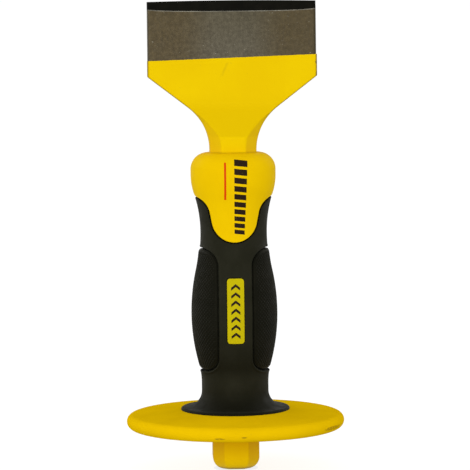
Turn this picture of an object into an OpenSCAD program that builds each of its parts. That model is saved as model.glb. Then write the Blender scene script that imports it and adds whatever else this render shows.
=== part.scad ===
// Brick bolster chisel with a moulded grip and a round hand guard.
// Origin: centre of the struck face. +Z runs to the cutting edge, X along the blade, Y through it.

/* [Forged chisel] */
// Length from the struck face to the cutting edge
overall_l = 211.4; // [202:0.5:226]
// Width of the blade along the cutting edge
blade_w = 76.2; // [70:0.1:80]
// Square bar across its flats
bar_w = 21; // [20:0.1:22]
// Leg of the 45 degree chamfers on the bar's corners
bar_chamfer = 5.25; // [4:0.05:6]
// Height at which the shoulders start to spread from the bar
shoulder_z = 144.4; // [143.9:0.1:145.4]
// Radius of the curve between bar and shoulder
shoulder_r = 24; // [20:0.5:26]
// Angle of the straight shoulders above the horizontal
shoulder_angle = 37.5; // [35:0.5:40]
// Height at which the bar's front and back flats end
cheek_z = 150.1; // [148.4:0.1:152.4]
// Height at which the sloping cheeks meet the blade
blade_root_z = 163.6; // [161.4:0.1:165.4]
// Half thickness of the blade at its root
blade_root_t = 4.7; // [4:0.1:5]
// Half thickness of the blade where the cutting bevel starts
blade_tip_t = 2.3; // [1.8:0.1:2.8]
// Height of the cutting bevel
bevel_h = 4.3; // [3:0.1:6]
// Half width of the land left on the cutting edge
edge_land = 0.3; // [0.2:0.05:0.6]
// Radius of the blend between cheek and blade
cheek_blend_r = 10; // [8:1:14]
// Radius that rounds all eight sides over to the flat struck face
crown_r = 5.7; // [5:0.1:7]

/* [Grip] */
// Height of the top of the collar
collar_top_z = 143.3; // [142.4:0.1:143.8]
// Largest radius of the collar
collar_r = 19.15; // [18.5:0.05:19.8]
// Radius of the collar's rounded top edge
collar_edge_r = 7.5; // [6:0.1:8]
// Radius of the collar's flank curve
collar_flank_r = 26; // [24:1:28]
// Height at which the collar is widest
collar_z = 133.15; // [132.4:0.05:134.4]
// Radius of the upper waist, where the fingers close
waist_r = 15; // [14.8:0.05:15.2]
// Height of the upper waist
waist_z = 107.4; // [106.4:0.1:108.4]
// Largest radius of the barrel between the pads
barrel_r = 18.95; // [18.5:0.05:19.2]
// Height of the barrel's largest radius
barrel_z = 70.8; // [70.4:0.1:71.4]
// Radius of the lower neck
neck_r = 15.1; // [15:0.05:15.3]
// Height at which the neck starts to swell into the barrel
neck_z = 39; // [38.4:0.1:39.4]
// Radius of the flared foot
foot_r = 24.6; // [24.5:0.1:25]
// Radius of the hard core's tube
core_r = 13.3; // [13:0.1:13.6]
// Radius of the round ends of the tongues that run down from the collar
tongue_r = 10.35; // [9.5:0.05:10.8]
// Height of the centre of the tongues' round ends
tongue_z = 113.95; // [113.4:0.05:114.4]
// Angle by which the tongues' sides lean outwards
tongue_lean = 10.8; // [8:0.1:13]
// Radius of the curves between collar and tongue
tongue_fillet_r = 9; // [8:0.1:10]
// Height of the centre of the curves between collar and tongue
tongue_fillet_z = 115.15; // [115:0.05:116.4]

/* [Grip pads] */
// Height of the pads' lower end
pad_low_z = 45.8; // [44.4:0.1:46.4]
// Height of the pads' upper end
pad_high_z = 99.8; // [98.4:0.1:100.4]
// Distance of a pad's front and back edges from the centre plane
pad_edge_x = 8.4; // [8:0.1:9]
// How far the pads stand out of the barrel at its middle
pad_proud = 0.4; // [0.2:0.05:0.5]
// Depth of the pockets in the sleeve that the pads sit in
pocket_depth = 1.2; // [1:0.1:1.4]
// Width of the groove round each pad
pad_groove = 0.9; // [0.6:0.1:1.1]
// Corner radius at a pad's upper end
pad_high_r = 7; // [6:0.1:8]
// Corner radius at a pad's lower end
pad_low_r = 5.5; // [5:0.1:6]

/* [Badges] */
// Width of a badge
badge_w = 7.6; // [7:0.1:9]
// Height of a badge
badge_h = 29.2; // [26:0.1:32]
// Height of the badges' centre
badge_z = 73.1; // [71.4:0.1:74.4]
// Corner radius of a badge
badge_corner_r = 1.4; // [1:0.1:2]
// Depth of the badge pockets
badge_depth = 1; // [0.8:0.1:1.4]
// How far a badge stands out of the sleeve
badge_proud = 0.15; // [0.1:0.05:0.3]

/* [Hand guard] */
// Outer diameter of the guard
guard_d = 98.5; // [90:0.5:105]
// Height of the guard's underside
guard_z = 18.5; // [17.9:0.1:18.8]
// Thickness of the guard at its rim
guard_t = 6.5; // [6.5:0.1:7.2]
// Rounding of the rim's upper edge
rim_high_r = 3.2; // [2:0.1:3.2]
// Rounding of the rim's lower edge
rim_low_r = 3.3; // [3:0.1:3.3]
// Slope of the guard's top face
guard_slope = 5; // [4:0.1:6]
// Radius of the core's end flange, which carries the guard
flange_r = 15.8; // [15:0.1:18]
// Thickness of the core's end flange
flange_t = 2; // [1.5:0.1:2.5]

/* [Hidden] */
$fn = 180;
// Radii of the grip's curves; each pair that forms an S crosses by a hair, so that it meets at a clean edge
s_cross = 0.01;
barrel_high_curve = 90;
neck_curve = 33;
flare_curve = 7.4;
pad_low_curve = 86;
waist_low_sum = s_radii(barrel_r - waist_r, waist_z - barrel_z);
waist_low_curve = waist_low_sum - barrel_high_curve + s_cross;
barrel_low_sum = s_radii(barrel_r - neck_r, barrel_z - neck_z);
barrel_low_curve = barrel_low_sum - neck_curve + s_cross;
waist_high_sum = s_radii(collar_r - waist_r, collar_z - waist_z);
waist_high_curve = waist_high_sum - collar_flank_r + s_cross;
// Heights at which the curves of an S meet
barrel_high_z = barrel_z + (waist_z - barrel_z) * barrel_high_curve / waist_low_sum;
barrel_low_z = neck_z + (barrel_z - neck_z) * neck_curve / barrel_low_sum;
collar_low_z = collar_z - (collar_z - waist_z) * collar_flank_r / waist_high_sum;
collar_edge_z = collar_top_z - collar_edge_r;
// How far a stretch of outline runs on inside the next one
lap = 2;
foot_edge_r = 1.1;
// The sleeve's foot rests on the guard's sloping top face
rim_x = guard_d / 2 - rim_high_r;
guard_top_z = guard_z + guard_t;
rim_high_z = guard_top_z - rim_high_r;
rim_low_x = guard_d / 2 - rim_low_r;
rim_low_z = guard_z + rim_low_r;
cone_x = rim_x + rim_high_r * sin(guard_slope);
cone_z = rim_high_z + rim_high_r * cos(guard_slope);
foot_edge_x = foot_r - foot_edge_r;
foot_edge_z = round(100 * cone_height(foot_edge_x)) / 100;
flare_z = foot_edge_z + foot_edge_r + flare_curve;
// Half the distance between two opposite chamfers of the bar
chamfer_half_w = (bar_w - bar_chamfer) / sqrt(2);
// Straight shoulders run from the end of the shoulder curve to the blade's corners
shoulder_x = bar_w / 2 + shoulder_r;
shoulder_end_x = shoulder_x - shoulder_r * sin(shoulder_angle);
shoulder_end_z = shoulder_z + shoulder_r * cos(shoulder_angle);
corner_z = shoulder_end_z + (blade_w / 2 - shoulder_end_x) * tan(shoulder_angle);
bevel_z = overall_l - bevel_h;
// A tongue's side runs straight between two touching points; both circles cross it by a hair
tongue_low_x = tongue_r * cos(tongue_lean);
tongue_low_z = tongue_z - tongue_r * sin(tongue_lean);
tongue_high_z = tongue_fillet_z + tongue_fillet_r * sin(tongue_lean);
tongue_high_x = tongue_low_x + (tongue_high_z - tongue_low_z) * tan(tongue_lean);
tongue_fillet_x = tongue_high_x + tongue_fillet_r * cos(tongue_lean);
// Blend between the cheek and the blade face, tangent to both
cheek_angle = atan((bar_w / 2 - blade_root_t) / (blade_root_z - cheek_z));
taper_angle = atan((blade_root_t - blade_tip_t) / (bevel_z - blade_root_z));
blend_tangent = cheek_blend_r * tan((cheek_angle - taper_angle) / 2);
blend_t = blade_root_t - blend_tangent * sin(taper_angle) + cheek_blend_r * cos(taper_angle);
blend_z = blade_root_z + blend_tangent * cos(taper_angle) + cheek_blend_r * sin(taper_angle);
// Larger than any part of the grip, for cutting shapes
reach = 60;

// Sum of the radii of a bulge and a hollow that touch, their peaks being dr apart sideways and dz in height
function s_radii(dr, dz) = (dr * dr + dz * dz) / (2 * dr);

// Height of the guard's top face at a radius
function cone_height(r) = cone_z + (cone_x - r) * tan(guard_slope);

// ---- outlines: half sections that are turned about Z ----

// A stretch of half section with a bulging edge: widest, at r, at height z, and grown outwards by d
module bulge(low, high, r, z, curve, d) {
    intersection() {
        translate([0, low]) square([reach, high - low]);
        translate([r - curve, z]) circle(curve + d);
    }
}

// A stretch of half section with a hollow edge: narrowest, at r, at height z, and grown outwards by d
module hollow(low, high, r, z, curve, d) {
    difference() {
        translate([0, low]) square([r + curve, high - low]);
        translate([r + curve, z]) circle(curve - d);
    }
}

// The barrel from its lower end to the waist, grown outwards by d
module barrel_outline(low_z, low_curve, d) {
    bulge(low_z, barrel_z, barrel_r, barrel_z, low_curve, d);
    bulge(barrel_z, barrel_high_z + lap, barrel_r, barrel_z, barrel_high_curve, d);
    hollow(barrel_high_z, waist_z, waist_r, waist_z, waist_low_curve, d);
}

// The sleeve's barrel and neck, grown outwards by d
module sleeve_barrel(d) {
    barrel_outline(barrel_low_z - lap, barrel_low_curve, d);
    hollow(neck_z, barrel_low_z, neck_r, neck_z, neck_curve, d);
}

// The whole grip, from the foot on the guard to the top of the collar
module grip_outline() {
    difference() {
        union() {
            translate([0, foot_edge_z - foot_edge_r]) square([foot_edge_x, 2 * foot_edge_r]);
            translate([foot_edge_x, foot_edge_z]) circle(foot_edge_r);
        }
        polygon([[0, 0], [reach, 0], [reach, cone_height(reach)], [0, cone_height(0)]]);
    }
    hollow(foot_edge_z + foot_edge_r, flare_z, neck_r, flare_z, flare_curve, 0);
    translate([0, flare_z - lap]) square([neck_r, neck_z - flare_z + 2 * lap]);
    sleeve_barrel(0);
    hollow(waist_z, collar_low_z, waist_r, waist_z, waist_high_curve, 0);
    bulge(collar_low_z - lap, collar_z, collar_r, collar_z, collar_flank_r, 0);
    translate([0, collar_z]) square([collar_r, collar_edge_z - collar_z]);
    translate([0, collar_edge_z]) square([collar_r - collar_edge_r, collar_edge_r]);
    bulge(collar_edge_z, collar_top_z, collar_r, collar_edge_z, collar_edge_r, 0);
}

// The guard: a shallow cone with a rounded rim, recessed for the core's end flange
module guard_outline() {
    difference() {
        union() {
            polygon([
                [core_r, guard_z],
                [rim_low_x, guard_z],
                [rim_low_x, rim_low_z],
                [guard_d / 2, rim_low_z],
                [guard_d / 2, rim_high_z],
                [rim_x, rim_high_z],
                [cone_x, cone_z],
                [core_r, cone_height(core_r)]
            ]);
            translate([rim_low_x, rim_low_z]) circle(rim_low_r);
            translate([rim_x, rim_high_z]) circle(rim_high_r);
        }
        square([flange_r, guard_z + flange_t]);
    }
}

// ---- outlines seen from the front: X across, Z up ----

// Everything that belongs to the yellow collar and its tongues
module collar_window() {
    difference() {
        polygon([
            [-tongue_low_x, tongue_low_z],
            [tongue_low_x, tongue_low_z],
            [tongue_high_x, tongue_high_z],
            [tongue_fillet_x, tongue_fillet_z + tongue_fillet_r],
            [reach, tongue_fillet_z + tongue_fillet_r],
            [reach, overall_l],
            [-reach, overall_l],
            [-reach, tongue_fillet_z + tongue_fillet_r],
            [-tongue_fillet_x, tongue_fillet_z + tongue_fillet_r],
            [-tongue_high_x, tongue_high_z]
        ]);
        for (side = [-1, 1])
            translate([side * tongue_fillet_x, tongue_fillet_z]) circle(tongue_fillet_r + s_cross);
    }
    translate([0, tongue_z]) circle(tongue_r + s_cross);
}

// The outline of the right-hand pad, grown all round
module pad_window(grow) {
    x = pad_edge_x - grow;
    low = pad_low_z - grow;
    high = pad_high_z + grow;
    low_r = pad_low_r + grow;
    high_r = pad_high_r + grow;
    translate([x, low + low_r]) square([reach, high - high_r - low - low_r]);
    translate([x + low_r, low]) square([reach, low_r]);
    translate([x + high_r, high - high_r]) square([reach, high_r]);
    translate([x + low_r, low + low_r]) circle(low_r);
    translate([x + high_r, high - high_r]) circle(high_r);
}

// The outline of a badge
module badge_window() {
    in_w = badge_w - 2 * badge_corner_r;
    in_h = badge_h - 2 * badge_corner_r;
    translate([0, badge_z]) {
        square([badge_w, in_h], center = true);
        square([in_w, badge_h], center = true);
        for (x = [-in_w / 2, in_w / 2], z = [-in_h / 2, in_h / 2])
            translate([x, z]) circle(badge_corner_r);
    }
}

// The blade and its shoulders
module blade_window() {
    difference() {
        polygon([
            [-shoulder_x, shoulder_z],
            [shoulder_x, shoulder_z],
            [shoulder_end_x, shoulder_end_z],
            [blade_w / 2, corner_z],
            [blade_w / 2, overall_l],
            [-blade_w / 2, overall_l],
            [-blade_w / 2, corner_z],
            [-shoulder_end_x, shoulder_end_z]
        ]);
        translate([shoulder_x, shoulder_z]) circle(shoulder_r);
        translate([-shoulder_x, shoulder_z]) circle(shoulder_r);
    }
}

// A bar of a given half width, seen square to one of its sides, with its struck end rounded over
module crown_window(half_w) {
    flat = half_w + s_cross - crown_r;
    translate([-half_w - s_cross, crown_r]) square([2 * half_w + 2 * s_cross, shoulder_z]);
    translate([-flat, 0]) square([2 * flat, 2 * crown_r]);
    translate([-flat, crown_r]) circle(crown_r);
    translate([flat, crown_r]) circle(crown_r);
}

// ---- outline seen from the side: Y across, Z up ----

// Half of the blade's thickness: flat, sloping cheek, blend, blade face and cutting bevel
module blade_half_section() {
    polygon([
        [0, shoulder_z],
        [bar_w / 2, shoulder_z],
        [bar_w / 2, cheek_z],
        [blade_root_t, blade_root_z],
        [blade_tip_t, bevel_z],
        [edge_land, overall_l],
        [0, overall_l]
    ]);
    difference() {
        polygon([
            [blade_root_t, blade_root_z],
            [blend_t - cheek_blend_r * cos(cheek_angle), blend_z - cheek_blend_r * sin(cheek_angle)],
            [blend_t, blend_z],
            [blend_t - cheek_blend_r * cos(taper_angle), blend_z - cheek_blend_r * sin(taper_angle)]
        ]);
        translate([blend_t, blend_z]) circle(cheek_blend_r);
    }
}

// ---- solids ----

// An outline seen from the front, pushed right through from front to back
module through() {
    rotate([90, 0, 0]) linear_extrude(2 * reach, center = true) children();
}

// An outline seen from the front, pushed out of the centre plane towards the front
module to_front() {
    rotate([90, 0, 0]) linear_extrude(reach) children();
}

// The chamfered bar between two heights
module bar(low, high) {
    translate([0, 0, low]) linear_extrude(high - low) intersection() {
        square(bar_w, center = true);
        rotate(45) square(2 * chamfer_half_w, center = true);
    }
}

// The four cones that carry the bar's chamfers up round the shoulder curves
module shoulder_chamfers() {
    start = bar_w / 2 - bar_chamfer;
    for (side = [0, 1], face = [0, 1])
        mirror([side, 0, 0]) mirror([0, face, 0])
            translate([shoulder_x, start, shoulder_z]) rotate([-90, 0, 0])
                cylinder(h = 2 * bar_chamfer, r1 = shoulder_r, r2 = shoulder_r + 2 * bar_chamfer);
}

module forged_chisel() {
    color("gold") {
        intersection() {
            bar(0, shoulder_z);
            through() crown_window(bar_w / 2);
            rotate(90) through() crown_window(bar_w / 2);
            rotate(45) through() crown_window(chamfer_half_w);
            rotate(-45) through() crown_window(chamfer_half_w);
        }
        difference() {
            intersection() {
                through() blade_window();
                rotate([90, 0, 90]) linear_extrude(2 * reach, center = true) {
                    blade_half_section();
                    mirror([1, 0]) blade_half_section();
                }
            }
            shoulder_chamfers();
        }
    }
}

// The tube of the hard core, from the guard's underside to the top of the collar
module core_tube() {
    translate([0, 0, guard_z]) cylinder(h = collar_top_z - guard_z, r = core_r);
}

// Hard sleeve round the bar: tube, end flange, collar and tongues
module grip_core() {
    color("gold") difference() {
        union() {
            intersection() {
                rotate_extrude() grip_outline();
                through() collar_window();
            }
            core_tube();
            translate([0, 0, guard_z]) cylinder(h = flange_t, r = flange_r);
        }
        bar(0, overall_l);
    }
}

// What a pocket of a given depth takes out of the sleeve, under the outline of its children
module pocket(depth) {
    difference() {
        children();
        rotate_extrude() sleeve_barrel(-depth);
    }
}

module grip_sleeve() {
    color([0.12, 0.12, 0.1]) difference() {
        rotate_extrude() grip_outline();
        core_tube();
        through() collar_window();
        pocket(pocket_depth) through() pad_window(pad_groove);
        pocket(pocket_depth) mirror([1, 0, 0]) through() pad_window(pad_groove);
        pocket(badge_depth) to_front() badge_window();
        pocket(badge_depth) mirror([0, 1, 0]) to_front() badge_window();
    }
}

module grip_pad() {
    pocket(pocket_depth) intersection() {
        rotate_extrude() barrel_outline(pad_low_z - pad_groove, pad_low_curve, pad_proud);
        through() pad_window(0);
    }
}

module right_grip_pad() {
    color([0.16, 0.16, 0.13]) grip_pad();
}

module left_grip_pad() {
    color([0.16, 0.16, 0.13]) mirror([1, 0, 0]) grip_pad();
}

module hand_guard() {
    color("goldenrod") rotate_extrude() guard_outline();
}

module badge() {
    pocket(badge_depth) intersection() {
        rotate_extrude() sleeve_barrel(badge_proud);
        to_front() badge_window();
    }
}

module front_badge() {
    color("yellow") badge();
}

module back_badge() {
    color("yellow") mirror([0, 1, 0]) badge();
}

forged_chisel();
grip_core();
grip_sleeve();
left_grip_pad();
right_grip_pad();
hand_guard();
front_badge();
back_badge();
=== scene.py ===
"""Looks of the guarded brick bolster chisel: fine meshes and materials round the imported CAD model.

The struck face is at z = 0, +Z runs to the cutting edge, X along the blade, and the front faces -Y.
Sizes are in millimetres and become metres where a mesh is made.
"""
import math

import bmesh
import bpy
import numpy as np
from mathutils import Matrix, Vector


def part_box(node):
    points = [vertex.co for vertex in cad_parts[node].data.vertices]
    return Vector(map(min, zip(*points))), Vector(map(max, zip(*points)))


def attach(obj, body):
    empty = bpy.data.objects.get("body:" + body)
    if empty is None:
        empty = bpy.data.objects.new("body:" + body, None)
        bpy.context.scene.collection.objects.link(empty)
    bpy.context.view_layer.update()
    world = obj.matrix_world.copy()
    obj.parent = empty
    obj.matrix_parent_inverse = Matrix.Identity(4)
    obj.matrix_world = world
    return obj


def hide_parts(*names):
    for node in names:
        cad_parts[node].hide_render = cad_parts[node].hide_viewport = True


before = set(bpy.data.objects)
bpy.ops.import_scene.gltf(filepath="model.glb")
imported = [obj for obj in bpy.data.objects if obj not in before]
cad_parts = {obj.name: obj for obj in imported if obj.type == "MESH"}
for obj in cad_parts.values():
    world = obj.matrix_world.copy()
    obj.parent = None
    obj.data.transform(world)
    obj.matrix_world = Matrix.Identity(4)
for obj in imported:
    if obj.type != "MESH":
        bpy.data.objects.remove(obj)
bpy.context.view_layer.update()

MM = 0.001
SCENE = bpy.context.scene


def box_mm(node):
    """Lowest and highest corner of a CAD node, in millimetres."""
    low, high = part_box(node)
    return np.array(low) / MM, np.array(high) / MM


# ---- sizes ----

CHISEL_HIGH = box_mm("forged_chisel")[1]
CORE_HIGH = box_mm("grip_core")[1]
PAD_LOW, PAD_HIGH = box_mm("right_grip_pad")
BADGE_LOW, BADGE_HIGH = box_mm("front_badge")
GUARD_LOW, GUARD_HIGH = box_mm("hand_guard")

# Forging
LENGTH = CHISEL_HIGH[2]
BLADE_HALF = CHISEL_HIGH[0]
BAR_HALF = CHISEL_HIGH[1]
BAR_CHAMFER = BAR_HALF / 2
SHOULDER_Z = 144.4
SHOULDER_R = 24.0
SHOULDER_X = BAR_HALF + SHOULDER_R
SHOULDER_ANGLE = math.radians(37.5)
CHEEK_Z = 150.1
BLADE_ROOT_Z = 163.6
BLADE_ROOT_T = 4.7
BEVEL_Z = LENGTH - 4.3
BLADE_TIP_T = 2.3
EDGE_LAND = 0.3
EDGE_ARCH = 0.45
# Width of the band above the bevel that carries a painted highlight
BRIGHT_EDGE = 0.4
CROWN_R = 5.7
BLADE_CHAMFER = 0.6
BAR_ROUNDING = 0.45
BLADE_ROUNDING = 0.8
# Here the shoulders run into the blade's sides, and the mesh is finer
CORNER_LOW_Z = 174
CORNER_HIGH_Z = 179
# The paint ends at a slanted line, a little proud of the ground steel
PAINT_Z = 185.75
PAINT_SLANT = 0.0328
PAINT_FACE_T = 0.12
PAINT_LEFT_T = 0.12
PAINT_RIGHT_T = 0.35
# Where the slant, the ripple of the paint's edge and the bow of the bevel begin and end
SLANT_LOW_Z = 178.6
SLANT_HIGH_Z = 203
RIPPLE_LOW_Z = 184
RIPPLE_HIGH_Z = 188
RIPPLE_HEIGHT = 0.05
BOW_LOW_Z = 200

# Grip
COLLAR_TOP_Z = CORE_HIGH[2]
COLLAR_R = CORE_HIGH[0]
COLLAR_EDGE_R = 7.5
COLLAR_EDGE_Z = COLLAR_TOP_Z - COLLAR_EDGE_R
COLLAR_FLANK = 26.0
COLLAR_Z = 133.15
WAIST_R = 15.0
WAIST_Z = 107.4
BARREL_R = 18.95
BARREL_Z = 70.8
BARREL_HIGH_CURVE = 90.0
NECK_R = 15.1
NECK_Z = 39.0
NECK_CURVE = 33.0
FLARE = 7.4
FOOT_EDGE_R = 1.1
FOOT_EDGE_X = 24.6 - FOOT_EDGE_R
CORE_R = 13.3
FLANGE_R = 15.8
FLANGE_T = 2.0
FLANGE_CHAMFER = 0.4
FLANGE_GAP = 0.05
# How far the core and the collar's top reach into the bar, so that no gap shows
CORE_IN_BAR = 0.02
COLLAR_IN_BAR = 0.2
COLLAR_ROUNDING = 0.3
TONGUE_R = 10.35
TONGUE_Z = 113.95
TONGUE_LEAN = math.radians(10.8)
TONGUE_FILLET = 9.0
TONGUE_FILLET_Z = 115.15
# A tongue's side runs straight between its round end and the curve to the collar
TONGUE_LOW_X = TONGUE_R * math.cos(TONGUE_LEAN)
TONGUE_LOW_Z = TONGUE_Z - TONGUE_R * math.sin(TONGUE_LEAN)
TONGUE_HIGH_Z = TONGUE_FILLET_Z + TONGUE_FILLET * math.sin(TONGUE_LEAN)
TONGUE_SIDE = (TONGUE_HIGH_Z - TONGUE_LOW_Z) / math.cos(TONGUE_LEAN)
TONGUE_HIGH_X = TONGUE_LOW_X + TONGUE_SIDE * math.sin(TONGUE_LEAN)
TONGUE_FILLET_X = TONGUE_HIGH_X + TONGUE_FILLET * math.cos(TONGUE_LEAN)

# Pads and badges
PAD_EDGE_X = PAD_LOW[0]
PAD_LOW_Z = PAD_LOW[2]
PAD_HIGH_Z = PAD_HIGH[2]
PAD_LOW_R = 5.5
PAD_HIGH_R = 7.0
PAD_LOW_CURVE = 86.0
PAD_PROUD = 0.4
POCKET_DEPTH = 1.2
PAD_GROOVE = 0.9
BADGE_HALF_W = BADGE_HIGH[0]
BADGE_HALF_H = (BADGE_HIGH[2] - BADGE_LOW[2]) / 2
BADGE_Z = (BADGE_HIGH[2] + BADGE_LOW[2]) / 2
BADGE_CORNER = 1.4
BADGE_PROUD = 0.15

# Guard
GUARD_R = GUARD_HIGH[0]
GUARD_Z = GUARD_LOW[2]
GUARD_T = 6.5
RIM_HIGH_R = 3.2
RIM_LOW_R = 3.3
GUARD_SLOPE = math.radians(5)
RIM_X = GUARD_R - RIM_HIGH_R
RIM_HIGH_Z = GUARD_Z + GUARD_T - RIM_HIGH_R
CONE_X = RIM_X + RIM_HIGH_R * math.sin(GUARD_SLOPE)
CONE_Z = RIM_HIGH_Z + RIM_HIGH_R * math.cos(GUARD_SLOPE)


def cone_height(r):
    """Height of the guard's sloping top face at a radius."""
    return CONE_Z + (CONE_X - r) * math.tan(GUARD_SLOPE)


FOOT_EDGE_Z = cone_height(FOOT_EDGE_X)
FLARE_Z = FOOT_EDGE_Z + FOOT_EDGE_R + FLARE

# ---- the grip's outline ----


def s_radii(dr, dz):
    """Sum of the radii of a touching bulge and hollow, whose peaks are dr and dz apart."""
    return (dr * dr + dz * dz) / (2 * dr)


def grip_curves():
    """The outline's arcs: lowest z, highest z, +1 for a bulge or -1 for a hollow, peak r, peak z, radius."""
    neck_sum = s_radii(BARREL_R - NECK_R, BARREL_Z - NECK_Z)
    waist_sum = s_radii(BARREL_R - WAIST_R, WAIST_Z - BARREL_Z)
    collar_sum = s_radii(COLLAR_R - WAIST_R, COLLAR_Z - WAIST_Z)
    neck_end = NECK_Z + (BARREL_Z - NECK_Z) * NECK_CURVE / neck_sum
    barrel_end = BARREL_Z + (WAIST_Z - BARREL_Z) * BARREL_HIGH_CURVE / waist_sum
    waist_end = COLLAR_Z - (COLLAR_Z - WAIST_Z) * COLLAR_FLANK / collar_sum
    return [
        (NECK_Z, neck_end, -1, NECK_R, NECK_Z, NECK_CURVE),
        (neck_end, BARREL_Z, 1, BARREL_R, BARREL_Z, neck_sum - NECK_CURVE),
        (BARREL_Z, barrel_end, 1, BARREL_R, BARREL_Z, BARREL_HIGH_CURVE),
        (barrel_end, WAIST_Z, -1, WAIST_R, WAIST_Z, waist_sum - BARREL_HIGH_CURVE),
        (WAIST_Z, waist_end, -1, WAIST_R, WAIST_Z, collar_sum - COLLAR_FLANK),
        (waist_end, COLLAR_Z, 1, COLLAR_R, COLLAR_Z, COLLAR_FLANK),
        (COLLAR_Z, COLLAR_EDGE_Z, 1, COLLAR_R, COLLAR_Z, math.inf),
        (COLLAR_EDGE_Z, COLLAR_TOP_Z, 1, COLLAR_R, COLLAR_EDGE_Z, COLLAR_EDGE_R),
    ]


GRIP_CURVES = grip_curves()


def bow(offset, curve):
    """How far an arc has come away from its peak at a height offset."""
    if math.isinf(curve):
        return 0 * offset
    return curve - np.sqrt(np.maximum(curve**2 - offset**2, 0))


def grip_radius(z):
    """Radius of the grip's surface at each height above the flared foot."""
    z = np.asarray(z, float)
    radius = np.full(z.shape, NECK_R)
    for low, high, way, peak_r, peak_z, curve in GRIP_CURVES:
        here = (z >= low) & (z <= high)
        radius[here] = peak_r - way * bow(z[here] - peak_z, curve)
    return radius


def pad_radius(z):
    """Radius of the pads' surface, under their diamond pattern, at each height."""
    z = np.asarray(z, float)
    low = BARREL_R - PAD_LOW_CURVE + np.sqrt((PAD_LOW_CURVE + PAD_PROUD) ** 2 - (z - BARREL_Z) ** 2)
    return np.where(z < BARREL_Z, low, grip_radius(z) + PAD_PROUD)


def around(r, z, phi):
    """Points at radius r, height z and angle phi, counted from the front towards +X."""
    return np.stack(np.broadcast_arrays(r * np.sin(phi), -r * np.cos(phi), z), axis=-1)


def lifted(radius_at, z, phi, lift):
    """Points of a turned surface, moved out along its normal by lift."""
    step = 0.05
    slope = (radius_at(z + step) - radius_at(z - step)) / (2 * step)
    length = np.hypot(1, slope)
    return around(radius_at(z) + lift / length, z - lift * slope / length, phi)


def on_front(x, z, lift, radius_at=grip_radius):
    """Points of the grip's front at x and z as seen from the front, moved out by lift."""
    return lifted(radius_at, z, np.arcsin(np.clip(x / radius_at(z), -1, 1)), lift)


# ---- outlines seen from the front, as distances: negative inside ----


def pad_distance(x, z):
    """Distance from the right-hand pad's outline, which runs on to the right without end."""
    middle = (PAD_LOW_Z + PAD_HIGH_Z) / 2
    half = (PAD_HIGH_Z - PAD_LOW_Z) / 2
    corner = np.where(z > middle, PAD_HIGH_R, PAD_LOW_R)
    side = PAD_EDGE_X + corner - x
    end = np.abs(z - middle) - half + corner
    return np.hypot(np.maximum(side, 0), np.maximum(end, 0)) + np.minimum(np.maximum(side, end), 0) - corner


def badge_distance(x, z):
    """Distance from a badge's outline."""
    side = np.abs(x) - BADGE_HALF_W + BADGE_CORNER
    end = np.abs(z - BADGE_Z) - BADGE_HALF_H + BADGE_CORNER
    outside = np.hypot(np.maximum(side, 0), np.maximum(end, 0))
    return outside + np.minimum(np.maximum(side, end), 0) - BADGE_CORNER


def collar_distance(x, z):
    """Distance from the outline of the yellow collar and its tongues."""
    out, up = np.abs(x) - TONGUE_LOW_X, z - TONGUE_LOW_Z
    along = out * math.sin(TONGUE_LEAN) + up * math.cos(TONGUE_LEAN)
    tongue = np.hypot(x, z - TONGUE_Z) - TONGUE_R
    side = out * math.cos(TONGUE_LEAN) - up * math.sin(TONGUE_LEAN)
    fillet = TONGUE_FILLET - np.hypot(TONGUE_FILLET_X - np.abs(x), z - TONGUE_FILLET_Z)
    return np.where(along < 0, tongue, np.where(along < TONGUE_SIDE, side, fillet))


def falloff(distance, width):
    """1 inside an outline and 0 outside, with a smooth wall of a given width between."""
    t = np.clip(0.5 - distance / width, 0, 1)
    return t * t * (3 - 2 * t)


def rounded_drop(inside, radius):
    """How far a rounded edge has dropped at a distance inside its outline."""
    return bow(np.clip(radius - inside, 0, radius), radius)


# ---- meshes ----


def grid_faces(rows, columns, closed_rows=False, closed_columns=False, first=0):
    """Quads of a grid kept row by row, facing out where rows rise and columns turn to +X."""
    row = np.arange(rows if closed_rows else rows - 1)
    column = np.arange(columns if closed_columns else columns - 1)
    row, column = np.meshgrid(row, column, indexing="ij")
    above = (row + 1) % rows
    beside = (column + 1) % columns
    corners = [(row, column), (row, beside), (above, beside), (above, column)]
    quads = np.stack([r * columns + c for r, c in corners], axis=-1)
    return (quads.reshape(-1, 4) + first).tolist()


def plate(outer, inner, joined_above=None):
    """A closed plate from two equal grids; above a row its sides stay open, to be joined."""
    rows, columns = outer.shape[:2]
    count = rows * columns
    faces = grid_faces(rows, columns)
    faces += [[count + i for i in reversed(face)] for face in faces]
    for c in range(columns - 1):
        faces.append([c + 1, c, count + c, count + c + 1])
        top = (rows - 1) * columns + c
        faces.append([top, top + 1, count + top + 1, count + top])
    for r in range((joined_above or rows) - 1):
        left, right = r * columns, (r + 1) * columns - 1
        faces.append([left, left + columns, count + left + columns, count + left])
        faces.append([right + columns, right, count + right, count + right + columns])
    return np.concatenate([outer.reshape(-1, 3), inner.reshape(-1, 3)]), faces


def together(*parts):
    """Several (points, faces) pairs as one."""
    points, faces = [], []
    for part_points, part_faces in parts:
        first = sum(len(p) for p in points)
        points.append(part_points)
        faces += [[first + i for i in face] for face in part_faces]
    return np.concatenate(points), faces


def turned_about(part):
    """The same (points, faces), turned half a turn about Z."""
    return part[0] * np.array([-1, -1, 1]), part[1]


def mirrored(part):
    """The same (points, faces), mirrored from the right to the left."""
    return part[0] * np.array([-1, 1, 1]), [face[::-1] for face in part[1]]


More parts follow.
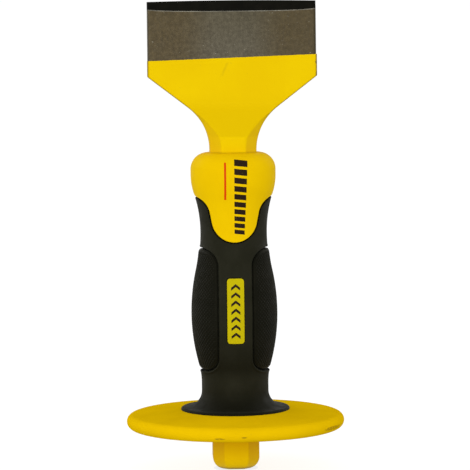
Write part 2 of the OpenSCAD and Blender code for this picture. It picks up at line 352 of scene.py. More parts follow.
def new_piece(name, part, materials, replaces=(), sharp=35, zones=None, merge=False):
    """A piece from (points, faces) in millimetres, riding on the one body there is."""
    points, faces = part
    mesh = bpy.data.meshes.new(name)
    mesh.from_pydata((points * MM).tolist(), [], faces)
    for material in materials:
        mesh.materials.append(material)
    if zones is not None:
        mesh.polygons.foreach_set("material_index", zones)
    piece = bpy.data.objects.new(name, mesh)
    SCENE.collection.objects.link(piece)
    if merge:
        merge_points(mesh)
    mesh.validate()
    mesh.shade_smooth()
    mesh.set_sharp_from_angle(angle=math.radians(sharp))
    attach(piece, "root")
    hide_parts(*replaces)


def merge_points(mesh):
    """Joins points that lie at the same place."""
    work = bmesh.new()
    work.from_mesh(mesh)
    bmesh.ops.remove_doubles(work, verts=work.verts, dist=0.001 * MM)
    work.to_mesh(mesh)
    work.free()


def stretches(*stops):
    """Numbers from the first stop to the last; between two stops comes their step."""
    values = [np.array([stops[0]], float)]
    for low, step, high in zip(stops[0:-2:2], stops[1:-1:2], stops[2::2]):
        count = max(1, round((high - low) / step))
        values.append(np.linspace(low, high, count + 1)[1:])
    return np.concatenate(values)


# Distances from a rounded edge at which a mesh has lines, so that the rounding shows
EDGE_LINES = np.array([0, 0.03, 0.08, 0.15, 0.24, 0.35, 0.5])


def edged(low, high, step):
    """Numbers from low to high, close together at both ends."""
    inner = stretches(low + EDGE_LINES[-1], step, high - EDGE_LINES[-1])
    return np.concatenate([low + EDGE_LINES[:-1], inner, high - EDGE_LINES[-2::-1]])


# ---- forging ----


def soft_min(a, b, width):
    """The smaller of two, with a rounded change between them."""
    h = np.maximum(width - np.abs(a - b), 0) / width
    return np.minimum(a, b) - h * h * width / 4


def blade_half_width(z):
    """Half width of the forging at each height."""
    rise = np.clip(z - SHOULDER_Z, 0, SHOULDER_R * math.cos(SHOULDER_ANGLE))
    curve = SHOULDER_X - np.sqrt(SHOULDER_R**2 - rise**2)
    beyond = np.maximum(z - SHOULDER_Z - rise, 0) / math.tan(SHOULDER_ANGLE)
    return soft_min(curve + beyond, BLADE_HALF, 0.5)


def blade_half_thickness(z):
    """Half thickness at each height: flat, cheek, blade face and cutting bevel."""
    cheek = BAR_HALF - (z - CHEEK_Z) * (BAR_HALF - BLADE_ROOT_T) / (BLADE_ROOT_Z - CHEEK_Z)
    rise = np.maximum(z, CHEEK_Z) - BLADE_ROOT_Z
    face = BLADE_ROOT_T - rise * (BLADE_ROOT_T - BLADE_TIP_T) / (BEVEL_Z - BLADE_ROOT_Z)
    bevel = BLADE_TIP_T - (z - BEVEL_Z) * (BLADE_TIP_T - EDGE_LAND) / (LENGTH - BEVEL_Z)
    body = soft_min(cheek, BAR_HALF, 0.2)
    body = -soft_min(-body, -face, 0.7)
    return soft_min(body, bevel, 0.03)


def crown_inset(z):
    """How far the rounded end of the head draws the sides in at each height."""
    return float(bow(max(CROWN_R - z, 0), CROWN_R))


def chamfer_x(y, z):
    """Where the chamfer, a cone round the shoulder curve, stands at half thickness y."""
    rise = max(z - SHOULDER_Z, 0)
    reach = SHOULDER_R + y - BAR_CHAMFER
    return SHOULDER_X - math.sqrt(max(reach**2 - rise**2, 0))


def bend(before, corner, after, reach, count):
    """A rounded corner from leg to leg, both cut back by reach or by what the legs allow."""
    def cut(end):
        leg = end - corner
        length = np.hypot(*leg)
        return corner + leg / length * min(reach, 0.45 * length)
    start, stop = cut(before), cut(after)
    t = np.linspace(0, 1, count)[:, None]
    return (1 - t) ** 2 * start + 2 * t * (1 - t) * corner + t**2 * stop


def quarter_section(z):
    """A quarter of the forging's section, from mid front to mid side."""
    inset = crown_inset(z)
    half_w = float(blade_half_width(z)) - inset
    half_t = float(blade_half_thickness(z)) - inset
    edge = min(BLADE_CHAMFER, 0.5 * half_t)
    rounding = BAR_ROUNDING if z < SHOULDER_Z else BLADE_ROUNDING
    draw = inset * math.tan(math.pi / 8)
    front_x = half_w - edge
    if half_t > BAR_CHAMFER - inset:
        front_x = min(chamfer_x(half_t + inset, z) - draw, front_x)
    middle = np.array([0, half_t])
    front = np.array([front_x, half_t])
    side = np.array([half_w, min(BAR_CHAMFER - draw, half_t - edge)])
    end = np.array([half_w, 0])
    first = bend(middle, front, side, rounding, 5)
    second = bend(front, side, end, rounding, 5)
    return np.concatenate([
        np.linspace(middle, first[0], 20, endpoint=False),
        first,
        np.linspace(first[-1], second[0], 6)[1:-1],
        second,
        np.linspace(second[-1], end, 6)[1:],
    ])


def full_section(z):
    """A whole section of the forging, turning from the front towards +X."""
    quarter = quarter_section(z)
    right = np.concatenate([quarter * (1, -1), quarter[-2::-1]])
    left = -right[1:-1]
    return np.concatenate([right, left])


def painted_and_ground(points, z):
    """Takes the paint's thickness off a section above the paint line."""
    ground = z > PAINT_Z
    thin = 1 - ground * PAINT_FACE_T / np.abs(points[:, 1]).max()
    side_t = np.where(points[:, 0] > 0, PAINT_RIGHT_T, PAINT_LEFT_T)
    narrow = 1 - ground * side_t / BLADE_HALF
    return points * np.stack([narrow, np.full(len(points), thin)], axis=-1)


def blade_shift(x, z):
    """How far a line across the blade leaves its height: slanted at the paint, bowed at the bevel."""
    across = x / BLADE_HALF
    slant = np.interp(z, [SLANT_LOW_Z, PAINT_Z - 1, PAINT_Z + 1, SLANT_HIGH_Z], [0, 1, 1, 0])
    slant = slant * PAINT_SLANT * x
    ripple = np.interp(z, [RIPPLE_LOW_Z, PAINT_Z, RIPPLE_HIGH_Z], [0, 1, 0]) * RIPPLE_HEIGHT
    ripple = ripple * np.sin(0.9 * x) * np.sin(0.23 * x + 1)
    bow_here = np.interp(z, [BOW_LOW_Z, BEVEL_Z, LENGTH], [0, 1, 0])
    arch = EDGE_ARCH * np.interp(z, [BEVEL_Z, LENGTH], [0, 1]) * across**2
    return slant + ripple + bow_here * (0.35 * across**2 + 0.6 * across**6 - 0.45) - arch


def forging_heights():
    """Heights of the sections of the forging."""
    crown = CROWN_R * (1 - np.cos(np.linspace(0, math.pi / 2, 18)))
    bar = stretches(CROWN_R, 0.8, GUARD_Z, 25, CORE_HIGH[2] - 1, 0.6, CHEEK_Z - 1, 0.15, CHEEK_Z + 1)
    cheek = stretches(
        CHEEK_Z + 1, 0.5, BLADE_ROOT_Z - 3, 0.35, BLADE_ROOT_Z + 3,
        1, CORNER_LOW_Z, 0.25, CORNER_HIGH_Z, 1, PAINT_Z - 1,
    )
    paint = PAINT_Z + np.array([-0.3, -0.1, -0.02, 0.02, 0.3])
    steel = stretches(PAINT_Z + 1, 1.5, BEVEL_Z - 1, 0.32, BEVEL_Z, 0.1, BEVEL_Z + 0.2, 0.5, LENGTH)
    return np.concatenate([crown, bar[1:], cheek[1:], paint, steel])


def chisel_mesh():
    """(points, faces, zones) of the forging: 0 paint, 1 ground steel, 2 bevel, 3 the painted highlight along
    the bevel's edge.
    """
    heights = forging_heights()
    rows = []
    for z in heights:
        section = painted_and_ground(full_section(z), z)
        rows.append(np.column_stack([section, z + blade_shift(section[:, 0], z)]))
    columns = len(rows[0])
    points = np.concatenate([rows[0] * (0.5, 0.5, 1), *rows])
    faces = grid_faces(len(rows) + 1, columns, closed_columns=True)
    bevel = heights > BEVEL_Z - 0.01
    row_zone = np.where(bevel, 2, np.where(heights > PAINT_Z, 1, 0))
    row_zone[(heights > BEVEL_Z - BRIGHT_EDGE) & ~bevel] = 3
    zones = np.concatenate([[0], row_zone[:-1]]).repeat(columns)
    faces += [list(range(columns))[::-1], [len(points) - columns + i for i in range(columns)]]
    return points, faces, np.append(zones, [0, 2]).astype(np.int32)


def make_chisel(materials):
    """The forging, with a material for each of its zones."""
    points, faces, zones = chisel_mesh()
    part = (points, faces)
    new_piece("chisel_forging", part, materials, ["forged_chisel"], zones=zones)


# ---- collar and core ----


def bar_distance(phi):
    """Distance from the axis to the bar's surface in a direction."""
    x, y = np.abs(np.sin(phi)), np.abs(np.cos(phi))
    flat = BAR_HALF / np.maximum(np.maximum(x, y), 1e-9)
    chamfer = (2 * BAR_HALF - BAR_CHAMFER) / (x + y)
    return np.minimum(flat, chamfer)


def collar_edge():
    """Heights and half angles along the collar's lower edge, from the tongue's tip to the side."""
    turn = np.linspace(math.radians(4), math.pi / 2 - TONGUE_LEAN, 200)
    tongue = np.stack([TONGUE_R * np.sin(turn), TONGUE_Z - TONGUE_R * np.cos(turn)])
    side = np.linspace((TONGUE_LOW_X, TONGUE_LOW_Z), (TONGUE_HIGH_X, TONGUE_HIGH_Z), 100).T[:, 1:-1]
    turn = np.linspace(TONGUE_LEAN, math.pi / 2, 400)
    fillet_z = TONGUE_FILLET_Z + TONGUE_FILLET * np.sin(turn)
    fillet = np.stack([TONGUE_FILLET_X - TONGUE_FILLET * np.cos(turn), fillet_z])
    x, z = np.concatenate([tongue, side, fillet], axis=1)
    inside = x < grip_radius(z)
    angle = np.append(np.arcsin(x[inside] / grip_radius(z[inside])), math.pi / 2)
    z = np.append(z[inside], z[inside][-1] + 0.02)
    path = around(grip_radius(z), z, angle)
    along = np.append(0, np.cumsum(np.linalg.norm(np.diff(path, axis=0), axis=1)))
    even = np.linspace(0, along[-1], 90)
    return np.interp(even, along, z), np.interp(even, along, angle)


def collar_columns(half_width):
    """Where a row's points lie, from -1 to 1, close together near its ends."""
    lines = np.minimum(EDGE_LINES / half_width, 0.5 * EDGE_LINES / EDGE_LINES[-1])
    middle = np.linspace(-1 + lines[-1], 1 - lines[-1], 85)
    return np.concatenate([-1 + lines[:-1], middle, 1 - lines[-2::-1]])


def half_collar():
    """The collar's front half with its tongue, a plate over the core's tube."""
    edge_z, edge_angle = collar_edge()
    full_z = stretches(edge_z[-1], 0.7, COLLAR_EDGE_Z)[1:]
    turn = np.linspace(0, math.pi / 2, 22)[1:]
    z = np.concatenate([edge_z, full_z, COLLAR_EDGE_Z + COLLAR_EDGE_R * np.sin(turn)])
    edge_r = COLLAR_R - COLLAR_EDGE_R * (1 - np.cos(turn))
    r = np.concatenate([grip_radius(edge_z), grip_radius(full_z), edge_r])
    angle = np.concatenate([edge_angle, np.full(len(z) - len(edge_z), math.pi / 2)])
    phi = np.stack([a * collar_columns(max(a * s, 0.01)) for a, s in zip(angle, r)])
    outer = []
    for row_r, row_z, row_phi in zip(r, z, phi):
        depth = -collar_distance(row_r * np.sin(row_phi), row_z)
        drop = rounded_drop(depth, COLLAR_ROUNDING) if row_z < edge_z[-1] + 1 else 0
        outer.append(around(row_r - drop, row_z, row_phi))
    inside_bar = bar_distance(phi[-1]) - COLLAR_IN_BAR
    outer.append(around(inside_bar, COLLAR_TOP_Z, phi[-1]))
    outer = np.stack(outer)
    inner_r = np.minimum(np.hypot(outer[..., 0], outer[..., 1]), CORE_R)
    inner_phi = np.concatenate([phi, phi[-1:]])
    inner = around(inner_r, np.minimum(outer[..., 2], COLLAR_TOP_Z - 1), inner_phi)
    return plate(outer, inner, joined_above=len(edge_z))


def core_tube():
    """The tube of the hard core with its end flange, round the bar."""
    phi = np.linspace(0, 2 * math.pi, 144, endpoint=False)
    bore = bar_distance(phi) - CORE_IN_BAR
    top = COLLAR_TOP_Z - 0.5
    ring = np.ones(len(phi))
    loop = [
        (bore, GUARD_Z),
        ((FLANGE_R - FLANGE_CHAMFER) * ring, GUARD_Z),
        (FLANGE_R * ring, GUARD_Z + FLANGE_CHAMFER),
        (FLANGE_R * ring, GUARD_Z + FLANGE_T),
        (CORE_R * ring, GUARD_Z + FLANGE_T),
        (CORE_R * ring, top),
        (bore, top),
    ]
    points = np.concatenate([around(r, z, phi) for r, z in loop])
    return points, grid_faces(len(loop), len(phi), closed_rows=True, closed_columns=True)


def make_core(plastic):
    """The collar with its two tongues, and the core's tube."""
    front = half_collar()
    part = together(front, turned_about(front), core_tube())
    new_piece("collar_and_core", part, [plastic], ["grip_core"], merge=True)


# ---- sleeve ----

SLEEVE_TOP_Z = 125
GROOVE_WALL = 0.3
LIP_HEIGHT = 0.16
LIP_WIDTH = 0.9
LIP_AWAY = 0.45
# The seam is the groove along the collar's lower edge
SEAM_WIDTH = 0.55
SEAM_DEPTH = 0.9
BADGE_POCKET = 0.7
BADGE_GAP = 0.25


def sleeve_path():
    """The sleeve's outline from inside its foot up to its end under the collar."""
    under = np.array([[CORE_R, cone_height(CORE_R)], [FOOT_EDGE_X - 3, cone_height(FOOT_EDGE_X - 3)]])
    turn = np.linspace(-math.pi / 2, math.pi / 2, 12)
    edge = np.column_stack([
        FOOT_EDGE_X + FOOT_EDGE_R * np.cos(turn),
        FOOT_EDGE_Z + FOOT_EDGE_R * np.sin(turn),
    ])
    turn = np.linspace(0, math.pi / 2, 22)
    flare = np.column_stack([NECK_R + FLARE * (1 - np.sin(turn)), FLARE_Z - FLARE * np.cos(turn)])
    z = stretches(
        FLARE_Z, 0.5, PAD_LOW_Z - 2.2, 0.2, PAD_LOW_Z + 1, 0.35, PAD_LOW_Z + 6, 0.8, BADGE_LOW[2] - 1,
        0.25, BADGE_LOW[2] + 2, 0.8, BADGE_HIGH[2] - 2, 0.25, BADGE_HIGH[2] + 1,
        0.35, PAD_HIGH_Z - 1, 0.2, PAD_HIGH_Z + 2.2, 0.3, SLEEVE_TOP_Z,
    )[1:]
    wall = np.column_stack([grip_radius(z), z])
    return np.concatenate([under, edge, flare, wall])


def sleeve_columns():
    """Angles of the sleeve's points, closest round the pads' front and back edges."""
    quarter = stretches(0, 1.6, 12, 0.7, 22, 0.9, 74, 2.6, 90)
    half = np.concatenate([quarter, 180 - quarter[-2::-1]])
    return np.radians(np.concatenate([half, half[1:-1] + 180]))


def sleeve_lift(x, z):
    """How far the sleeve's skin leaves its plain turned shape."""
    pad = pad_distance(np.abs(x), z) - PAD_GROOVE
    lip = np.exp(-(((pad - LIP_AWAY) / (0.5 * LIP_WIDTH)) ** 2))
    lift = LIP_HEIGHT * lip * falloff(-pad, GROOVE_WALL)
    lift -= POCKET_DEPTH * falloff(pad, GROOVE_WALL)
    lift -= BADGE_POCKET * falloff(badge_distance(x, z) - BADGE_GAP, GROOVE_WALL)
    lift -= SEAM_DEPTH * falloff(collar_distance(x, z) - SEAM_WIDTH, GROOVE_WALL)
    return np.where(z > FLARE_Z, lift, 0)


def groove_shade_zones(x, z):
    """1 for each face in the grooves round the pads and the collar, which takes painted shade, otherwise 0.
    """
    depth = np.minimum(pad_distance(np.abs(x), z) - PAD_GROOVE, collar_distance(x, z) - SEAM_WIDTH)
    across = depth + np.roll(depth, -1, axis=1)
    middle = (across + np.roll(across, -1, axis=0)) / 4
    return (middle < -0.1).astype(np.int32).ravel()


def make_sleeve(materials):
    """The rubber sleeve, with materials for its skin and for the painted shade in its grooves."""
    path = sleeve_path()
    phi = sleeve_columns()
    tangent = np.gradient(path, axis=0)
    normal = np.column_stack([tangent[:, 1], -tangent[:, 0]])
    normal /= np.linalg.norm(normal, axis=1)[:, None]
    r, z = path[:, :1], path[:, 1:]
    lift = sleeve_lift(r * np.sin(phi), z)
    skin = around(r + lift * normal[:, :1], z + lift * normal[:, 1:], phi)
    top = around(np.full(len(phi), CORE_R), path[-1, 1], phi)[None]
    grid = np.concatenate([skin, top])
    faces = grid_faces(*grid.shape[:2], closed_rows=True, closed_columns=True)
    zones = groove_shade_zones(grid[..., 0], grid[..., 2])
    part = (grid.reshape(-1, 3), faces)
    new_piece("rubber_sleeve", part, materials, ["grip_sleeve"], zones=zones)


# ---- pads ----

KNURL_PITCH = 1.25
KNURL_DEPTH = 0.3
KNURL_STEEPNESS = 1.7
KNURL_LEVEL = 0.6
KNURL_MARGIN = 0.8
PAD_ROUNDING = 0.45


def knurl(along, z):
    """Height of the diamond pattern, from 0 in its grooves to 1 on its flats."""
    def ridge(t):
        return 1 - np.abs(2 * (t / KNURL_PITCH % 1) - 1)
    lowest = np.minimum(ridge((along + z) / math.sqrt(2)), ridge((along - z) / math.sqrt(2)))
    return np.clip(lowest * KNURL_STEEPNESS, 0, 1)


def pad_edge_angle(z):
    """Angle of a pad's front edge at each height."""
    low_rise = np.clip(PAD_LOW_Z + PAD_LOW_R - z, 0, PAD_LOW_R)
    high_rise = np.clip(z - PAD_HIGH_Z + PAD_HIGH_R, 0, PAD_HIGH_R)
    x = PAD_EDGE_X + bow(low_rise, PAD_LOW_R) + bow(high_rise, PAD_HIGH_R)
    return np.arcsin(x / pad_radius(z))


def right_pad():
    """The right-hand pad, a closed plate with a diamond pattern outside."""
    z = edged(PAD_LOW_Z, PAD_HIGH_Z, 0.22)[:, None]
    half = math.pi / 2 - pad_edge_angle(z)
    lines = EDGE_LINES / (pad_radius(z) * half)
    middle = np.linspace(-1, 1, 172)[1:-1] * (1 - lines[:, -1:])
    across = np.concatenate([-1 + lines, middle, 1 - lines[:, ::-1]], axis=1)
    phi = math.pi / 2 + across * half
    inside = -pad_distance(pad_radius(z) * np.sin(phi), z)
    pattern = knurl(BARREL_R * (phi - math.pi / 2), z) * falloff(KNURL_MARGIN - inside, 0.6)
    lift = KNURL_DEPTH * (pattern - KNURL_LEVEL) - rounded_drop(inside, PAD_ROUNDING)
    outer = lifted(pad_radius, z, phi, lift)
    inner = lifted(grip_radius, np.broadcast_to(z, phi.shape), phi, -POCKET_DEPTH + 0.02)
    return plate(outer, inner)


def make_pads(rubber):
    """The two textured pads."""
    part = right_pad()
    new_piece("right_pad", part, [rubber], ["right_grip_pad"], sharp=50)
    new_piece("left_pad", mirrored(part), [rubber], ["left_grip_pad"], sharp=50)


# ---- guard ----


def guard_path():
    """The guard's outline: underside, rim, sloping top and the recess for the flange."""
    turn = np.linspace(-math.pi / 2, 0, 16)
    low_x = GUARD_R - RIM_LOW_R * (1 - np.cos(turn))
    low = np.column_stack([low_x, GUARD_Z + RIM_LOW_R * (1 + np.sin(turn))])
    turn = np.linspace(0, math.pi / 2 - GUARD_SLOPE, 16)
    high = np.column_stack([RIM_X + RIM_HIGH_R * np.cos(turn), RIM_HIGH_Z + RIM_HIGH_R * np.sin(turn)])
    recess_x = FLANGE_R + FLANGE_GAP
    under_x = np.linspace(recess_x, low[0, 0], 8, endpoint=False)
    over_x = np.linspace(high[-1, 0], CORE_R, 12)[1:]
    under = np.column_stack([under_x, np.full(len(under_x), GUARD_Z)])
    over = np.column_stack([over_x, [cone_height(x) for x in over_x]])
    recess = [[CORE_R, GUARD_Z + FLANGE_T], [recess_x, GUARD_Z + FLANGE_T]]
    return np.concatenate([under, low, high, over, recess])


def make_guard(plastic):
    """The round hand guard."""
    path = guard_path()
    phi = np.linspace(0, 2 * math.pi, 300, endpoint=False)
    points = around(path[:, :1], path[:, 1:], phi).reshape(-1, 3)
    faces = grid_faces(len(path), len(phi), closed_rows=True, closed_columns=True)
    new_piece("guard_disc", (points, faces), [plastic], ["hand_guard"])


# ---- badges and printed marks ----

BADGE_ROUNDING = 0.25
BADGE_BACK = 0.6
INK_PROUD = 0.03
INK_T = 0.08
CHEVRON_PITCH = 3.6
CHEVRON_HALF_T = 0.65
# Left, right, height and slant of a chevron's legs
CHEVRON_LEGS = [(-2, 0, -0.9, 0.8), (0, 2, 0.74, -0.8)]
COLLAR_BARS = 10
COLLAR_BARS_TOP_Z = 140.9
COLLAR_BARS_LEFT = -0.1
COLLAR_BARS_SLANT = -0.12
# Left, right, lowest and highest place of the red line
RED_LINE = (-4.6, -3.7, 122.8, 139.5)


def badge_plate():
    """The front badge, with softened edges."""
    z = edged(BADGE_LOW[2], BADGE_HIGH[2], 0.6)[:, None]
    rise = np.clip(np.abs(z - BADGE_Z) - BADGE_HALF_H + BADGE_CORNER, 0, BADGE_CORNER)
    half = BADGE_HALF_W - bow(rise, BADGE_CORNER)
    middle = np.linspace(-0.85, 0.85, 21) + 0 * z
    across = np.concatenate([-1 + EDGE_LINES / half, middle, 1 - EDGE_LINES[::-1] / half], axis=1)
    x = across * half
    lift = BADGE_PROUD - 0.6 * rounded_drop(-badge_distance(x, z), BADGE_ROUNDING)
    return plate(on_front(x, z, lift), on_front(x, z, np.full(x.shape, -BADGE_BACK)))


def mark(left, right, low, high, slant=0, lift=INK_PROUD):
    """A thin printed bar on the grip's front; slant lifts its right end."""
    z = stretches(low, 0.4, high)[:, None]
    x = stretches(left, 0.5, right) + 0 * z
    z = z + slant * (x - left)
    return plate(on_front(x, z, lift), on_front(x, z, lift - INK_T))


def chevrons():
    """A column of plain chevrons for the badge."""
    parts = []
    for z in BADGE_Z + CHEVRON_PITCH * np.arange(-3, 4):
        for left, right, height, slant in CHEVRON_LEGS:
            low = z + height - CHEVRON_HALF_T
            lift = BADGE_PROUD + INK_PROUD
            parts.append(mark(left, right, low, low + 2 * CHEVRON_HALF_T, slant, lift))
    return together(*parts)


def front_and_back(name, part, material, slot, front_node, back_node):
    """A piece on the front, and the same piece turned to the back."""
    new_piece(name + "_front", part, [material], [front_node])
    new_piece(name + "_back", turned_about(part), [material], [back_node])


def make_badges(inlay, ink):
    """The front and back badges with their printed chevrons."""
    place = ("badge_plastic", "front_badge", "back_badge")
    front_and_back("badge", badge_plate(), inlay, *place)
    front_and_back("badge_chevrons", chevrons(), ink, *place)


def collar_bars():
    """A column of slanting bars that get smaller down the collar and its tongue."""
    parts = []
    top = COLLAR_BARS_TOP_Z
    for number in range(COLLAR_BARS):
        height = 2.8 - 0.1 * number
        width = 5.9 - 0.15 * number
        gap = 1.25 - 0.04 * number
        right = COLLAR_BARS_LEFT + width
        parts.append(mark(COLLAR_BARS_LEFT, right, top - height, top, COLLAR_BARS_SLANT))
        top -= height + gap
    return together(*parts)


def make_collar_prints(ink, red):
    """The slanting bars and the red line beside them, front and back."""
    place = ("core_plastic", "grip_core", "grip_core")
    front_and_back("collar_bars", collar_bars(), ink, *place)
    front_and_back("collar_line", mark(*RED_LINE), red, *place)


# ---- materials ----


class Look:
    """A material or the world while its nodes are made; base is its colour so far."""

    def __init__(self, owner, base):
        owner.use_nodes = True
        owner.node_tree.nodes.clear()
        self.owner = owner
        self.tree = owner.node_tree
        self.base = base
        self.coordinates = self.node("TexCoord").outputs

    def node(self, kind, inputs=(), **settings):
        """A shader node. inputs maps a socket's name or number to a value or another socket."""
        made = self.tree.nodes.new("ShaderNode" + kind)
        for name, value in settings.items():
            setattr(made, name, value)
        for name, value in dict(inputs).items():
            if isinstance(value, bpy.types.NodeSocket):
                self.tree.links.new(value, made.inputs[name])
            else:
                made.inputs[name].default_value = value
        return made

    def split(self, vector):
        """The x, y and z of a vector."""
        return self.node("SeparateXYZ", {0: vector}).outputs

    def position(self):
        """The x, y and z of the surface's point on the object, in metres."""
        return self.split(self.coordinates["Object"])

    def facing(self):
        """The x, y and z of the direction that the surface faces."""
        return self.split(self.node("NewGeometry").outputs["Normal"])

    def noise(self, size, detail=3.0, rough=0.5, stretch=(1, 1, 1)):
        """Noise with blotches of a size in millimetres, longer along an axis where stretch is larger."""
        scale = [1 / (size * MM * s) for s in stretch]
        scaled = self.node("VectorMath", {0: self.coordinates["Object"], 1: scale}, operation="MULTIPLY")
        inputs = {"Vector": scaled.outputs[0], "Scale": 1.0, "Detail": detail, "Roughness": rough}
        return self.node("TexNoise", inputs).outputs["Fac"]

    def ramp(self, value, low, high, to=(0, 1)):
        """A smooth ramp from to[0] at low to to[1] at high."""
        inputs = {"Value": value, "From Min": low, "From Max": high, "To Min": to[0], "To Max": to[1]}
        return self.node("MapRange", inputs, interpolation_type="SMOOTHSTEP").outputs[0]

    def mm_ramp(self, length, low, high, to=(0, 1)):
        """A smooth ramp of a length, with its two limits in millimetres."""
        return self.ramp(length, low * MM, high * MM, to)

    def calc(self, operation, *values):
        """A mathematical operation on one, two or three values."""
        return self.node("Math", dict(enumerate(values)), operation=operation).outputs[0]

    def times(self, first, *others):
        """The product of several values."""
        for other in others:
            first = self.calc("MULTIPLY", first, other)
        return first

    def unsigned(self, value):
        """A value without its sign."""
        return self.calc("ABSOLUTE", value)

    def cover(self, colour, *factors):
        """Lays a colour over the base, by the product of some factors."""
        inputs = {0: self.times(*factors), 6: self.base, 7: colour}
        self.base = self.node("Mix", inputs, data_type="RGBA").outputs[2]

    def patches(self, colour, size, low, high, most=1, detail=3, rough=0.6, stretch=(1, 1, 1)):
        """Lays blotches of a colour over the base: none where noise is below low, most above high."""
        self.cover(colour, self.ramp(self.noise(size, detail, rough, stretch), low, high, (0, most)))

    def shine(self, size, low, high, detail=4):
        """A roughness that wanders between two values."""
        return self.ramp(self.noise(size, detail), 0.3, 0.7, (low, high))

    def bump(self, height, distance, strength=1.0, over=None):
        """A bumped normal; distance is the full height in millimetres."""
        inputs = {"Height": height, "Distance": distance * MM, "Strength": strength}
        if over is not None:
            inputs["Normal"] = over
        return self.node("Bump", inputs).outputs[0]

    def material(self, roughness, normal=None, **fixed):
        """The finished material; fixed holds other values of its shader by socket name."""
        inputs = {"Base Color": self.base, "Roughness": roughness}
        if normal is not None:
            inputs["Normal"] = normal
        inputs.update({name.replace("_", " "): value for name, value in fixed.items()})
        surface = self.node("BsdfPrincipled", inputs)
        self.node("OutputMaterial", {"Surface": surface.outputs[0]})
        return self.owner


def new_look(name, base):
    """The look of a new material."""
    return Look(bpy.data.materials.new(name), base)


def rgb(red, green, blue):
    """A linear colour."""
    return (red, green, blue, 1.0)


# Rub marks on the guard's rim and chips at the paint's right edge: x, z, half width and half height
GUARD_SCUFFS = [(-8.7, 20.3, 3.8, 0.7), (1.8, 20.9, 2.6, 0.6), (42.5, 21, 6, 1.4)]
EDGE_CHIPS = [(38.1, 183.8, 1.3, 1.6), (38.2, 177.6, 1.1, 2.6)]
# The scratch under the paint line: x and z of a point, slope, lowest and highest z
SCRATCH = (-3.9, 179.6, 0.45, 175.5, 184)
SCRATCH_COVER = 0.23


def scratch(look, x, z, slope, low, high):
    """A thin broken line through (x, z), slope across for each step up, between two heights."""
    side, _, height = look.position()
    middle = look.calc("MULTIPLY_ADD", height, -slope, (slope * z - x) * MM)
    line = look.mm_ramp(look.unsigned(look.calc("ADD", side, middle)), 0.1, 1.0, (1, 0))
    broken = look.ramp(look.noise(2.5), 0.3, 0.5)
    ends = look.times(look.mm_ramp(height, low, low + 1), look.mm_ramp(height, high - 1, high, (1, 0)))
    return look.times(line, broken, ends)


def scuff(look, x, z, half_w, half_h):
    """A short dark rub mark on the front, centred on (x, z)."""
    side, depth, height = look.position()
    across = look.mm_ramp(look.unsigned(look.calc("SUBTRACT", side, x * MM)), 0, half_w, (1, 0))
    up = look.mm_ramp(look.unsigned(look.calc("SUBTRACT", height, z * MM)), 0, half_h, (1, 0))
    broken = look.ramp(look.noise(1.2, rough=0.6), 0.35, 0.5)
    in_front = look.mm_ramp(depth, -2, 0, (1, 0))
    return look.times(across, up, broken, in_front)


YELLOW_TINT = rgb(1.0, 0.7, 0.05)
COLLAR_YELLOW = rgb(0.87, 0.565, 0.001), rgb(0.84, 0.535, 0.001)
GUARD_YELLOW = rgb(0.84, 0.53, 0.001), rgb(0.80, 0.50, 0.001)
BADGE_YELLOW = rgb(0.56, 0.47, 0.004), rgb(0.52, 0.43, 0.004)
PLASTIC_SPECK = rgb(0.45, 0.3, 0.03)
PLASTIC_SMUDGE = rgb(0.5, 0.36, 0.03)
PLASTIC_SCUFF = rgb(0.16, 0.09, 0.01)


def yellow_material(name, colour, deep, grain, rough, gloss, soil=0.25, scuffs=()):
    """Yellow plastic with slow shifts of colour, grain, dust specks, smudges and rub marks."""
    look = new_look(name, colour)
    look.patches(deep, 14, 0.35, 0.7, detail=4, rough=0.5)
    look.patches(PLASTIC_SPECK, 0.9, 0.70, 0.78, soil, detail=2)
    look.patches(PLASTIC_SMUDGE, 5, 0.62, 0.8, 0.12, detail=5, rough=0.65, stretch=(1, 1, 2.5))
    for spot in scuffs:
        look.cover(PLASTIC_SCUFF, look.ramp(scuff(look, *spot), 0.1, 0.6, (0, 0.55)))
    shine = look.shine(3, rough - 0.06, rough + 0.08)
    normal = look.bump(look.noise(grain, 2), 0.02, 0.5)
    return look.material(shine, normal, Specular_IOR_Level=gloss, Specular_Tint=YELLOW_TINT)


ENAMEL = rgb(0.84, 0.572, 0.001)
ENAMEL_DEEP = rgb(0.81, 0.538, 0.001)
ENAMEL_SPECK = rgb(0.5, 0.34, 0.03)
# Painted shade: the cheeks, the head under the guard and the bar's turned sides
ENAMEL_CHEEK_SHADE = rgb(0.78, 0.52, 0.001)
ENAMEL_HEAD_SHADE = rgb(0.74, 0.41, 0.001)
ENAMEL_SIDE_SHADE = rgb(0.60, 0.28, 0.001)
ENAMEL_CHIP = rgb(0.08, 0.06, 0.03)
ENAMEL_SCRATCH = rgb(0.45, 0.29, 0.01)
# Painted shade where the bar meets the collar, and on the edges turned away from the light
ENAMEL_JOINT_SHADE = rgb(0.35, 0.24, 0.001)
ENAMEL_EDGE_SHADE = rgb(0.42, 0.28, 0.004)
ENAMEL_DEEP_EDGE_SHADE = rgb(0.15, 0.10, 0.004)
JOINT_HEIGHT = 0.8
SHADE_LOW_Z = 154
SHADE_HIGH_Z = 164


